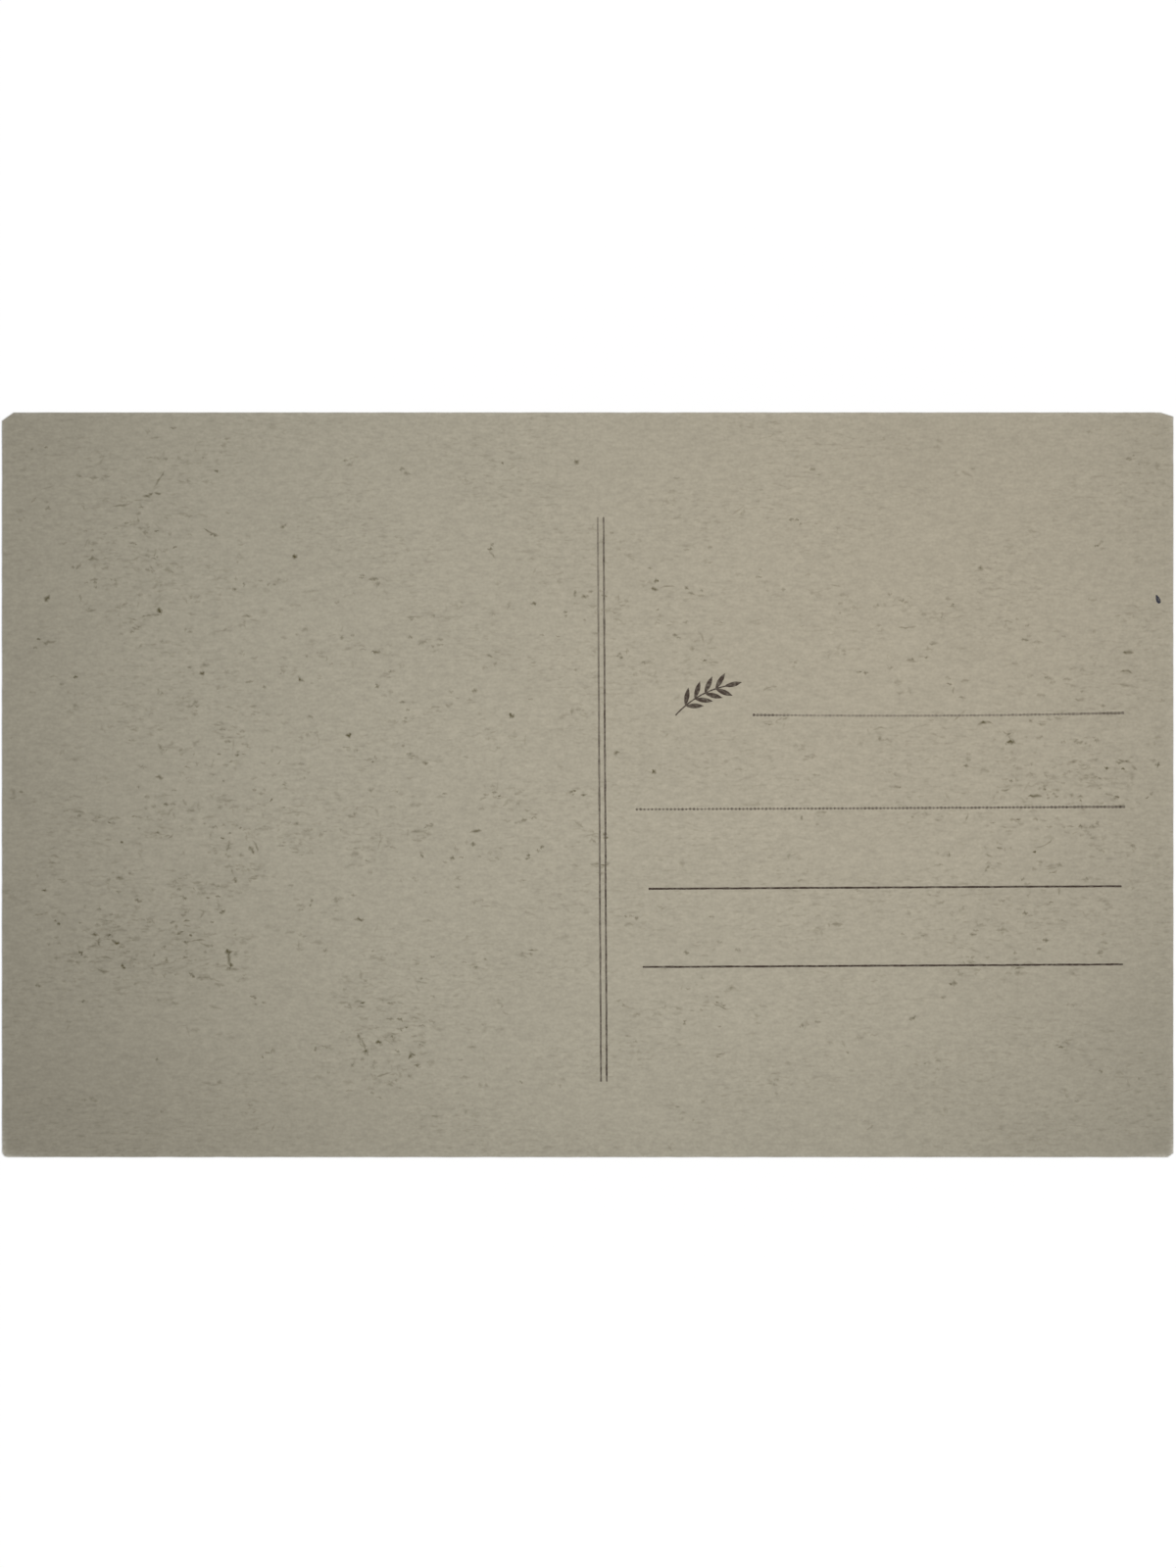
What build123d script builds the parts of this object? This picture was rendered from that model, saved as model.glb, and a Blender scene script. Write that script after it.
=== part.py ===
from build123d import *
import os

# Picture postcard with a divided back, lying with its address side up.
#
# The card is pasteboard: an address ply, a core ply and a picture ply, held together by two films of paste.
# Each run of printing ink is a thin film of its own. The picture lies on the underside. On the address side
# are the double divider, two dotted and two solid address rules, and a sprig ornament before the first rule.
#
# Millimetres, +Z up. The origin is the middle of the underside. +X runs along the card to the reader's right
# and +Y runs to the card's top edge.

# Card blank
CARD_LENGTH = 140.0
CARD_HEIGHT = 89.0

# Corners: three knocked blunt, by a cut along the card's length and down its height, and one worn round
TOP_LEFT_CHIP_LENGTH = 1.4
TOP_LEFT_CHIP_HEIGHT = 1.0
TOP_RIGHT_CHIP_LENGTH = 1.5
TOP_RIGHT_CHIP_HEIGHT = 0.5
BOTTOM_RIGHT_CHIP_LENGTH = 0.65
BOTTOM_RIGHT_CHIP_HEIGHT = 0.5
BOTTOM_LEFT_WEAR = 0.7

# Layers, from the underside up
PICTURE_INK_THICKNESS = 0.01
PICTURE_PLY_THICKNESS = 0.10
PASTE_THICKNESS = 0.01
CORE_PLY_THICKNESS = 0.17
ADDRESS_PLY_THICKNESS = 0.10
RULE_INK_THICKNESS = 0.01

# The outer plies' edges, softened by handling
EDGE_SOFTENING = 0.04

# Plain border around the picture
PICTURE_BORDER = 4.5

# The address side's printing sits slightly turned on the card, counter-clockwise
PRINT_SKEW = 0.36

# Double divider, placed from the card's middle and its top and bottom edges
DIVIDER_OFFSET = 1.73
DIVIDER_SPACING = 0.69
DIVIDER_RULE_WIDTH = 0.20
DIVIDER_TOP_MARGIN = 12.5
DIVIDER_BOTTOM_MARGIN = 9.0

# Address rules: the first one's drop from the top edge, then the steps down from rule to rule
RULE_WIDTH = 0.20
RULE_1_DROP = 36.3
RULE_2_STEP = 11.2
RULE_3_STEP = 9.5
RULE_4_STEP = 9.35

# Where each rule starts, to the right of the divider's middle
RULE_1_START = 18.0
RULE_2_START = 3.9
RULE_3_START = 5.45
RULE_4_START = 4.7

# Where each rule ends, inside the card's right edge
RULE_1_END_MARGIN = 5.8
RULE_2_END_MARGIN = 5.7
RULE_3_END_MARGIN = 6.25
RULE_4_END_MARGIN = 6.15

# Dots of the dotted rules, six-sided and round to the eye at this size
DOT_DIAMETER = 0.26
DOT_PITCH = 0.455
DOT_SIDES = 6

# Sprig ornament, which stands on the first rule's line and ends short of its first dot
SPRIG_GAP = 1.2
SPRIG_TILT = 30.0
STEM_REACH = 6.9
STEM_BOW = 0.55
STEM_WIDTH = 0.18
LEAF_LENGTH = 2.2
LEAF_WIDTH = 0.62
LEAF_SPREAD = 40.0
LEAF_PAIRS = 4
LEAF_SPACING = 1.4
LOWEST_LEAF = 1.6

# Heights of the layers' faces
picture_ply_base = PICTURE_INK_THICKNESS
lower_paste_base = picture_ply_base + PICTURE_PLY_THICKNESS
core_base = lower_paste_base + PASTE_THICKNESS
upper_paste_base = core_base + CORE_PLY_THICKNESS
address_ply_base = upper_paste_base + PASTE_THICKNESS
address_face = address_ply_base + ADDRESS_PLY_THICKNESS

# The address side's printing is drawn on this plane
print_plane = Plane.XY.offset(address_face).rotated((0, 0, PRINT_SKEW))

os.makedirs("parts", exist_ok=True)


def worn_outline():
    """The card's outline: a rectangle with three corners knocked blunt and one worn round."""
    right = CARD_LENGTH / 2
    left = -right
    top = CARD_HEIGHT / 2
    bottom = -top
    with BuildLine() as rim:
        Polyline(
            (left, bottom),
            (right - BOTTOM_RIGHT_CHIP_LENGTH, bottom),
            (right, bottom + BOTTOM_RIGHT_CHIP_HEIGHT),
            (right, top - TOP_RIGHT_CHIP_HEIGHT),
            (right - TOP_RIGHT_CHIP_LENGTH, top),
            (left + TOP_LEFT_CHIP_LENGTH, top),
            (left, top - TOP_LEFT_CHIP_HEIGHT),
            close=True,
        )
    make_face(rim.edges())
    fillet(vertices().sort_by_distance((left, bottom))[0], BOTTOM_LEFT_WEAR)


def finish(piece, name):
    """Label a finished piece and write it to its file."""
    piece.part.label = name
    export_step(piece.part, f"parts/{name}.step")


# Plies
with BuildPart() as picture_ply:
    with BuildSketch(Plane.XY.offset(picture_ply_base)):
        worn_outline()
    extrude(amount=PICTURE_PLY_THICKNESS)
    fillet(faces().sort_by(Axis.Z)[0].edges(), min(EDGE_SOFTENING, PICTURE_PLY_THICKNESS / 2))
finish(picture_ply, "picture_ply")

with BuildPart() as core_ply:
    with BuildSketch(Plane.XY.offset(core_base)):
        worn_outline()
    extrude(amount=CORE_PLY_THICKNESS)
finish(core_ply, "core_ply")

with BuildPart() as address_ply:
    with BuildSketch(Plane.XY.offset(address_ply_base)):
        worn_outline()
    extrude(amount=ADDRESS_PLY_THICKNESS)
    fillet(faces().sort_by(Axis.Z)[-1].edges(), min(EDGE_SOFTENING, ADDRESS_PLY_THICKNESS / 2))
finish(address_ply, "address_ply")

# Paste films, one each side of the core
for film_name, film_base in (("lower_paste_film", lower_paste_base), ("upper_paste_film", upper_paste_base)):
    with BuildPart() as paste_film:
        with BuildSketch(Plane.XY.offset(film_base)):
            worn_outline()
        extrude(amount=PASTE_THICKNESS)
    finish(paste_film, film_name)

# Picture, a film of ink on the underside within its plain border
with BuildPart() as picture_print:
    with BuildSketch(Plane.XY):
        Rectangle(CARD_LENGTH - 2 * PICTURE_BORDER, CARD_HEIGHT - 2 * PICTURE_BORDER)
    extrude(amount=PICTURE_INK_THICKNESS)
finish(picture_print, "picture_print")

# Double divider
divider_top = CARD_HEIGHT / 2 - DIVIDER_TOP_MARGIN
divider_bottom = DIVIDER_BOTTOM_MARGIN - CARD_HEIGHT / 2
divider_middle = (divider_top + divider_bottom) / 2
divider_length = divider_top - divider_bottom

for rule_name, side in (("divider_rule_left", -1), ("divider_rule_right", 1)):
    with BuildPart() as divider_rule:
        with BuildSketch(print_plane):
            with Locations((DIVIDER_OFFSET + side * DIVIDER_SPACING / 2, divider_middle)):
                Rectangle(DIVIDER_RULE_WIDTH, divider_length)
        extrude(amount=RULE_INK_THICKNESS)
    finish(divider_rule, rule_name)

# Heights of the address rules above the card's middle
rule_1_y = CARD_HEIGHT / 2 - RULE_1_DROP
rule_2_y = rule_1_y - RULE_2_STEP
rule_3_y = rule_2_y - RULE_3_STEP
rule_4_y = rule_3_y - RULE_4_STEP

# Dotted address rules, as many dots as fit between the rule's two ends
dotted_rules = (
    ("address_rule_1", rule_1_y, RULE_1_START, RULE_1_END_MARGIN),
    ("address_rule_2", rule_2_y, RULE_2_START, RULE_2_END_MARGIN),
)
for rule_name, rule_y, rule_start, end_margin in dotted_rules:
    start_x = DIVIDER_OFFSET + rule_start
    end_x = CARD_LENGTH / 2 - end_margin
    dot_count = int((end_x - start_x - DOT_DIAMETER) / DOT_PITCH) + 1
    with BuildPart() as dotted_rule:
        with BuildSketch(print_plane):
            with Locations(((start_x + end_x) / 2, rule_y)):
                with GridLocations(DOT_PITCH, 0, dot_count, 1):
                    RegularPolygon(DOT_DIAMETER / 2, DOT_SIDES)
        extrude(amount=RULE_INK_THICKNESS)
    finish(dotted_rule, rule_name)

# Solid address rules
solid_rules = (
    ("address_rule_3", rule_3_y, RULE_3_START, RULE_3_END_MARGIN),
    ("address_rule_4", rule_4_y, RULE_4_START, RULE_4_END_MARGIN),
)
for rule_name, rule_y, rule_start, end_margin in solid_rules:
    start_x = DIVIDER_OFFSET + rule_start
    end_x = CARD_LENGTH / 2 - end_margin
    with BuildPart() as solid_rule:
        with BuildSketch(print_plane):
            with Locations(((start_x + end_x) / 2, rule_y)):
                Rectangle(end_x - start_x, RULE_WIDTH)
        extrude(amount=RULE_INK_THICKNESS)
    finish(solid_rule, rule_name)


def leaf(base, angle):
    """A leaf: the lens between two arcs on one chord, which runs from its base out at an angle."""
    tip = base + Vector(LEAF_LENGTH, 0).rotate(Axis.Z, angle)
    with BuildLine() as rim:
        SagittaArc(base, tip, LEAF_WIDTH / 2)
        SagittaArc(base, tip, -LEAF_WIDTH / 2)
    make_face(rim.edges())


# Sprig ornament: a bowed stem with pairs of leaves and one leaf at its tip
stem_tip = Vector(STEM_REACH, 0).rotate(Axis.Z, SPRIG_TILT)
with BuildLine() as stem:
    SagittaArc((0, 0), stem_tip, STEM_BOW)
stem_line = stem.edge()

with BuildSketch() as sprig_outline:
    trace(stem_line, STEM_WIDTH)
    leaf(stem_line @ (1 - STEM_WIDTH / stem_line.length), stem_line.tangent_angle_at(1))
    for pair in range(LEAF_PAIRS):
        along = (LOWEST_LEAF + pair * LEAF_SPACING) / stem_line.length
        for side in (-1, 1):
            leaf(stem_line @ along, stem_line.tangent_angle_at(along) + side * LEAF_SPREAD)

sprig_box = sprig_outline.sketch.bounding_box()
sprig_x = DIVIDER_OFFSET + RULE_1_START - SPRIG_GAP - sprig_box.max.X
sprig_y = rule_1_y - sprig_box.min.Y

with BuildPart() as sprig_ornament:
    with BuildSketch(print_plane):
        with Locations((sprig_x, sprig_y)):
            add(sprig_outline.sketch)
    extrude(amount=RULE_INK_THICKNESS)
finish(sprig_ornament, "sprig_ornament")
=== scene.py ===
"""Looks of an old postcard with a divided back, lying address side up on a pale table.

The card's plies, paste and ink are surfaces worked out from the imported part's boxes. Everything is in
metres, in the part's own frame: +X to the reader's right, +Y to the card's top edge and +Z out of the
address side.
"""

import math

import bpy
import numpy as np
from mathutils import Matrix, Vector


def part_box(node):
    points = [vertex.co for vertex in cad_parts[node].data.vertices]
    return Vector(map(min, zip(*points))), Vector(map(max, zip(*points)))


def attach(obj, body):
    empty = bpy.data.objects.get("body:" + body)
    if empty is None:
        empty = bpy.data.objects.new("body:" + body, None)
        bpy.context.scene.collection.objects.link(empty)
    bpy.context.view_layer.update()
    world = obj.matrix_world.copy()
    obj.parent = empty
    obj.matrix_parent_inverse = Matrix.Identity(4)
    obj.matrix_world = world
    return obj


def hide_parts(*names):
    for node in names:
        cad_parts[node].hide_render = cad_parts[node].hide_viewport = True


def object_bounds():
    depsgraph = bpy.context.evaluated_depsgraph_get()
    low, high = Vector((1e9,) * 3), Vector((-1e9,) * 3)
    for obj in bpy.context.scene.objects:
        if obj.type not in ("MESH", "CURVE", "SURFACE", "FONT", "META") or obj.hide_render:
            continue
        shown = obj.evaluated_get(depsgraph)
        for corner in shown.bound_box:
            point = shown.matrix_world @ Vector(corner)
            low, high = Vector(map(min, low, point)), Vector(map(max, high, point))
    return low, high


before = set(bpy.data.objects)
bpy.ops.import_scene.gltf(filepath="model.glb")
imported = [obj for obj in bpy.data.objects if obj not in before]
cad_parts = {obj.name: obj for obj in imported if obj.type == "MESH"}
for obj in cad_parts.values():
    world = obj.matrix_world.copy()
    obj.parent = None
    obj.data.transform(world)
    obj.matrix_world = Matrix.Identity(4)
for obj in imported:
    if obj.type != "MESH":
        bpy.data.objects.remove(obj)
cad_low, cad_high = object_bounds()
_, address_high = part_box("address_ply")
address_top = address_high[2]

MM = 0.001

# How the photograph frames the card, in its own pixels
PHOTO_WIDTH_PX = 1200
PHOTO_HEIGHT_PX = 1600
CARD_LEFT_PX = 2.1
CARD_RIGHT_PX = 1197.3
CARD_MIDDLE_ROW_PX = 800.8

# Corners: three knocked blunt, by a cut along the card's length and down its height, and one worn round
TOP_LEFT_CHIP = (1.4 * MM, 1.0 * MM)
TOP_RIGHT_CHIP = (1.5 * MM, 0.5 * MM)
BOTTOM_RIGHT_CHIP = (0.65 * MM, 0.5 * MM)
BOTTOM_LEFT_WEAR = 0.7 * MM

# Grid lines of a ply: close together at the edges, even over the middle
EDGE_STEPS = np.array([0.0, 0.03, 0.08, 0.16, 0.3, 0.5, 0.7, 1.0, 1.4, 1.8]) * MM
PLY_SPACING = 1.2 * MM
PASTE_SPACING = 4.0 * MM

# Dents along the edges; waves are the shortest one, the longest one and how many are mixed, here and below
DENT_DEPTH = 0.035 * MM
DENT_REACH = 0.45 * MM
DENT_WAVES = (0.8 * MM, 9.0 * MM, 9)

# Rounding of the outer plies' edges, and how far the paste stays back from the edge
EDGE_ROLL = 0.03 * MM
ROLL_REACH = 0.12 * MM
PASTE_SETBACK = 0.25 * MM

# Rubbed pale by handling, and a painted highlight where edges catch light: in patches along the edges and
# at corners
EDGE_WEAR_AND_HIGHLIGHT = 0.32
WEAR_AND_HIGHLIGHT_REACH = 0.22 * MM
WEAR_AND_HIGHLIGHT_WAVES = (1.5 * MM, 20.0 * MM, 9)
WEAR_AND_HIGHLIGHT_SLANT = 1.7
WEAR_AND_HIGHLIGHT_SEED_STEP = 7
TOP_CORNER_WEAR_AND_HIGHLIGHT = 0.35
BOTTOM_CORNER_WEAR_AND_HIGHLIGHT = 1.3
CORNER_REACH = 1.8 * MM

# The address side's slow waves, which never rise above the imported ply
COCKLE_DEPTH = 0.012 * MM
COCKLE_WAVES = (5.0 * MM, 24.0 * MM, 14)
COCKLE_SEED = 31

# How far ink and flecks rise from the line they lie on, and how far a fleck's line is lifted off the paper
INK_RISE = 0.007 * MM
FLECK_RISE = 0.003 * MM
FLECK_LIFT = 0.0008 * MM

# Sections of a stroke, as shares of its half width and of its rise, going round from the left rim
INK_SECTION = np.array([[-1.0, 0.0], [-0.72, 1.0], [0.72, 1.0], [1.0, 0.0], [0.72, -1.0], [-0.72, -1.0]])
INK_SECTION_TONE = np.array([0.85, 1.0, 1.0, 0.85, 0.5, 0.5])
FLECK_SECTION = np.array([[-1.0, 0.0], [0.0, 1.0], [1.0, 0.0], [0.0, -1.0]])
FLECK_SECTION_TONE = np.array([0.0, 1.0, 0.0, 0.0])

# Solid rules: their size and ends, and how they waver, swell and go patchy
RULE_WIDTH = 0.24 * MM
RULE_STEP = 0.35 * MM
RULE_ENDING = 0.06 * MM
RULE_END_WIDTH = 0.5
RULE_TURNS = (0.0, 0.5, 1.0)
RULE_WAVER = 0.012 * MM
WAVER_WAVES = (2.0 * MM, 25.0 * MM, 8)
RULE_SWELL = 0.14
SWELL_WAVES = (0.8 * MM, 6.0 * MM, 9)
RULE_PATCHINESS = 0.12
PATCH_WAVES = (1.0 * MM, 12.0 * MM, 9)

# Dotted rules
DOT_PITCH = 0.455 * MM
DOT_RADIUS = 0.135 * MM
DOT_STATIONS = 8
DOT_SCATTER = 0.006 * MM
DOT_RADIUS_SPREAD = 0.05
DOT_INKING_SPREAD = 0.06
DOT_TURNS = (0.0, 0.14, 0.8, 1.0)

# Sprig ornament, whose tilt takes in the print's own turn in degrees
PRINT_SKEW = 0.36
SPRIG_TILT = math.radians(30.0 + PRINT_SKEW)
STEM_REACH = 6.9 * MM
STEM_BOW = 0.55 * MM
STEM_WIDTH = 0.18 * MM
LEAF_LENGTH = 2.2 * MM
LEAF_WIDTH = 0.62 * MM
LEAF_SPREAD = math.radians(40.0)
LEAF_PAIRS = 4
LEAF_SPACING = 1.4 * MM
LOWEST_LEAF = 1.6 * MM
LEAF_TIP = 0.02 * MM
SPRIG_STATIONS = 15
SPRIG_INKING = 0.92

# Ink spot near the right edge
SPOT_PLACE = (68.15 * MM, 22.2 * MM)
SPOT_LENGTH = 1.1 * MM
SPOT_WIDTH = 0.55 * MM
SPOT_LEAN = math.radians(112.0)
SPOT_STATIONS = 12
SPOT_SPAN = (0.06, 0.97)
SPOT_SKEW = 0.7
SPOT_BLUNTNESS = 0.8

# Drifts of flecks in the address paper: middle x and y, spread along x and y (mm), and how many
FLECK_DRIFTS = (
    (-44.0, -5.0, 11.0, 8.0, 100),
    (-56.0, -18.0, 5.5, 5.0, 46),
    (-46.0, -18.0, 5.0, 4.0, 20),
    (-55.0, 26.0, 5.0, 6.5, 40),
    (-36.0, 14.0, 14.0, 8.0, 56),
    (-14.0, -6.0, 8.0, 7.0, 32),
    (-24.0, -31.0, 4.0, 4.0, 38),
    (57.0, -1.0, 5.5, 5.0, 48),
    (54.0, -15.0, 8.0, 6.0, 36),
    (40.0, 14.0, 13.0, 7.0, 40),
    (6.0, 22.0, 10.0, 5.0, 24),
    (16.0, -28.0, 12.0, 6.0, 20),
)
SCATTERED_FLECKS = 130
FLECK_MARGIN = 1.0 * MM
FLECK_GROUP = 4
FLECK_GROUP_SPREAD = np.array([0.7, 0.4]) * MM

# Scattered flecks: how they spread in size, strength, lean and bend, and how much weaker the long ones are
FLECK_LENGTH_SPREAD = 0.38
FLECK_WIDTH_SPREAD = 0.22
FLECK_STRENGTH_SPREAD = 0.32
FLECK_FADING = 0.35
FLECKS_ALONG_CARD = 0.84
FLECK_LEAN_SPREAD = 0.15
FLECK_BEND = 0.08

# Form of every fleck: its width and tone along it, and how it is knocked aside, swollen and clumped
FLECK_STATIONS = 6
FLECK_END_WIDTH = 0.25
FLECK_BLUNTNESS = 0.7
FLECK_FADE_SPAN = (0.04, 0.96)
FLECK_FADE_BLUNTNESS = 0.6
FLECK_KNOCK = 0.09
FLECK_ROUGHNESS = 0.26

# Placed flecks: how much longer they are drawn than they look, and how they spread
FLECK_OVERRUN = 1.15
PLACED_SPREAD = (0.9, 1.1)
PLACED_BEND = 0.1

# Flecks that show from a step away, placed one by one: x, y, length (mm) and lean (degrees)
BOLD_FLECKS = (
    (-43.0, -20.0, 0.8, 110),
    (-42.7, -21.7, 0.9, 85),
    (-9.1, 8.3, 0.7, 140),
    (50.6, 5.0, 1.0, 170),
    (-21.0, -32.5, 0.9, 30),
    (-35.0, 27.3, 0.6, 150),
    (8.0, 23.4, 0.8, 165),
    (-28.6, 6.0, 0.7, 15),
    (-64.6, 22.3, 0.9, 55),
    (-51.1, 20.9, 0.7, 110),
    (-25.0, -30.8, 0.7, 170),
)
CLEAR_FLECKS = (
    (-42.8, -20.8, 1.7, 98),
    (-26.6, -32.1, 0.9, 148),
    (-20.4, -33.5, 0.7, 10),
    (53.5, -1.4, 1.6, 178),
    (-59.1, 26.9, 1.2, 178),
    (3.5, 3.8, 0.8, 20),
    (-51.2, 0.9, 0.9, 170),
    (11.8, -20.1, 0.7, 175),
    (-13.7, -7.1, 0.6, 90),
    (-61.2, 12.9, 0.6, 15),
    (-25.2, 11.8, 0.6, 120),
    (-1.3, 38.6, 0.7, 120),
    (-51.5, -5.8, 0.7, 0),
    (-22.5, -28.2, 0.8, 155),
    (-13.4, -5.6, 1.3, 8),
    (8.0, 1.6, 0.7, 140),
    (-43.0, -7.3, 1.2, 75),
    (-36.4, 31.0, 0.8, 30),
    (-53.7, -13.8, 0.9, 160),
    (-13.5, 11.2, 0.7, 0),
    (-6.5, 21.7, 0.7, 0),
    (-27.4, -30.1, 0.9, 112),
    (-57.9, -22.1, 1.4, 165),
    (11.6, -28.4, 0.6, 50),
    (-43.7, -15.1, 0.8, 35),
    (38.8, -27.8, 0.9, 30),
    (-40.2, -7.8, 1.0, 122),
    (-19.4, 2.7, 0.8, 170),
    (52.3, -15.4, 0.7, 0),
    (54.7, -18.6, 0.7, 0),
    (-55.9, -11.1, 1.0, 163),
    (-60.6, -20.1, 0.7, 130),
    (-42.1, -11.4, 0.7, 105),
    (8.2, 24.3, 0.6, 0),
    (-25.3, 15.8, 1.1, 175),
    (-58.9, -18.0, 1.0, 170),
    (-58.3, -18.8, 1.0, 95),
    (-57.2, -18.0, 0.8, 0),
    (-34.2, 12.7, 0.9, 138),
    (64.6, 15.8, 1.2, 178),
    (64.4, 13.4, 1.3, 172),
    (47.5, 7.2, 1.7, 6),
    (-27.3, -16.1, 1.2, 0),
    (-52.6, 34.7, 1.2, 20),
    (-44.7, 29.8, 0.9, 165),
    (-56.4, -18.7, 1.0, 160),
    (-55.4, -21.6, 0.8, 110),
)
HAIR_FIBRES = (
    (-26.9, -31.0, 2.3, 108),
    (-24.5, -34.7, 1.8, 15),
    (-55.7, 33.5, 2.0, 8),
    (-51.2, 36.6, 2.0, 58),
    (-45.0, 30.2, 1.9, 154),
    (50.2, 5.8, 1.7, 132),
    (44.5, 8.3, 1.8, 40),
    (9.6, 23.6, 1.6, 4),
    (-39.8, -7.4, 1.5, 110),
    (38.2, 18.9, 2.0, 4),
    (54.3, -6.8, 2.6, 25),
    (16.0, -26.4, 2.0, 160),
    (-46.6, -18.7, 1.6, 5),
    (-57.1, -19.7, 1.3, 175),
    (-59.0, -19.3, 1.2, 10),
    (-57.6, -20.7, 1.4, 170),
)

# Colours in linear light
PAPER_COLOUR = (0.391, 0.36, 0.2825)
PAPER_WARM_COLOUR = (0.4, 0.358, 0.275)
# Pale of rubbed paper, also painted on the rims as highlight
SCUFF_AND_HIGHLIGHT_COLOUR = (0.7, 0.67, 0.585)
FLECK_COLOUR = (0.06, 0.048, 0.01)
INK_COLOUR = (0.034, 0.021, 0.014)
SPOT_COLOUR = (0.02, 0.022, 0.036)
CORE_COLOUR = (0.33, 0.29, 0.21)
CORE_DARK_COLOUR = (0.24, 0.2, 0.135)
PASTE_COLOUR = (0.36, 0.31, 0.21)
PICTURE_PAPER_COLOUR = (0.5, 0.455, 0.36)
SKY_HIGH_COLOUR = (0.32, 0.262, 0.18)
SKY_LOW_COLOUR = (0.52, 0.45, 0.335)
CLOUD_COLOUR = (0.58, 0.51, 0.39)
FAR_HILL_COLOUR = (0.22, 0.175, 0.115)
NEAR_HILL_COLOUR = (0.07, 0.053, 0.033)
WOODS_COLOUR = (0.17, 0.132, 0.084)
WATER_COLOUR = (0.34, 0.28, 0.19)
BANK_COLOUR = (0.04, 0.03, 0.019)

# Picture: its grid, and its ridges, each a base height, a rise, the length of a hill and its detail
PICTURE_GRID = (45, 29)
FAR_RIDGE = (-2.0 * MM, 26.0 * MM, 38.0 * MM, 5.0)
NEAR_RIDGE = (-11.0 * MM, 20.0 * MM, 24.0 * MM, 9.0)
BANK_RIDGE = (-40.0 * MM, 17.0 * MM, 34.0 * MM, 9.0)
RIDGE_SOFTNESS = 0.25 * MM

# Picture: heights of its bands, and the place of its tree
SHORE_HEIGHT = -9.0 * MM
MIRROR_REACH = 14.0 * MM
MIST_TOP = 14.0 * MM
SKY_TOP = 40.0 * MM
TRUNK_PLACE = 52.0 * MM
TRUNK_WIDTH = 2.2 * MM
TRUNK_LEAN = 0.08
CROWN_MIDDLE = (51.0 * MM, 16.0 * MM, 0.0)
CROWN_REACH = 42.0 * MM

# Picture: spots along x, y and z, the same all through the film, and the steps where noise turns into form
ALL_THROUGH = 1.0
CLOUD_BANK_SIZE = (34.0 * MM, 9.0 * MM, ALL_THROUGH)
CLOUD_BANK_STEP = (0.42, 0.68)
WOODS_SIZE = (1.5 * MM, 1.9 * MM, ALL_THROUGH)
WOODS_STEP = (0.35, 0.65)
FOLIAGE_STEP = (0.5, 0.75)
RIPPLE_SIZE = (14.0 * MM, 0.6 * MM, ALL_THROUGH)
RIPPLE_STEP = (0.38, 0.66)
GLINT_SWING = -0.9
GRASS_SIZE = (0.7 * MM, 3.0 * MM, ALL_THROUGH)
GRASS_STEP = (0.42, 0.66)
LEAF_CLUMP_SIZE = (5.0 * MM, 3.6 * MM, ALL_THROUGH)
LEAF_CLUMP_STEP = (-0.02, 0.02)
PICTURE_GRAIN = 0.35

# Texture of the papers and the ink: spots along x, y and z, their steps, and how far they lighten or darken
STREAK_SIZE = (1.1 * MM, 0.48 * MM, 0.3 * MM)
STREAK_DEPTH = 0.27
GRAIN_SIZE = (0.32 * MM, 0.3 * MM, 0.3 * MM)
GRAIN_DEPTH = 0.16
MOTTLE_SIZE = (2.6 * MM, 1.5 * MM, 1.0 * MM)
MOTTLE_DEPTH = 0.08
CLOUD_SIZE = (16.0 * MM, 11.0 * MM, 11.0 * MM)
CLOUD_DEPTH = 0.08
DASH_SIZE = (1.1 * MM, 0.42 * MM, 0.3 * MM)
DASH_SHIFT = 3.7
DASH_STEP = (0.52, 0.75)
DASH_DEPTH = 0.16
DRIFT_SIZE = (15.0 * MM, 9.0 * MM, 9.0 * MM)
DRIFT_SHIFT = 8.1
DRIFT_STEP = (0.38, 0.62)
SCUFF_SIZE = (0.5 * MM, 0.3 * MM, 0.2 * MM)
SCUFF_STEP = (0.25, 0.55)
PULP_STEP = (0.3, 0.7)
PULP_GRAIN_DEPTH = 0.3
FLECK_GRAIN_SIZE = (0.3 * MM, 0.2 * MM, 0.3 * MM)
FLECK_GRAIN_DEPTH = 0.5
INK_GRAIN_SIZE = (0.35 * MM, 0.3 * MM, 0.3 * MM)
INK_GRAIN_DEPTH = 0.9

# Depth of the fine relief, and the finishes, each a roughness and a gloss
TOOTH_DEPTH = 0.012 * MM
COARSE_TOOTH_DEPTH = 2.0 * TOOTH_DEPTH
PAPER_FINISH = (0.9, 0.2)
PULP_FINISH = (0.92, 0.15)
INK_FINISH = (0.75, 0.25)
PICTURE_FINISH = (0.5, 0.4)

# Painted shade: the address paper is darkened away from its upper middle, where the light falls off
PAINTED_FALLOFF_MIDDLE = (6.6 * MM, 25.6 * MM, 0.0)
PAINTED_FALLOFF_START = 52.0 * MM
PAINTED_FALLOFF_END = 106.0 * MM
PAINTED_FALLOFF_DEPTH = 0.167

# The address paper's colour is warmest at its upper right
WARM_MIDDLE = (45.0 * MM, 25.0 * MM, 0.0)
WARM_REACH = 90.0 * MM

# Light and table: one lamp above the card, an even fill, and the table's shade, reach and gap
LAMP_PLACE = (21.0 * MM, 7.0 * MM, 200.0 * MM)
LAMP_RADIUS = 35.0 * MM
LAMP_SHARE = 0.8
FILL_SHARE = 0.2
TABLE_SHADE = 0.6
TABLE_REACH = 3.0
TABLE_GAP = 0.02 * MM

# Camera
LENS = 85.0
SENSOR = 36.0


# Noise and waves

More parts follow.
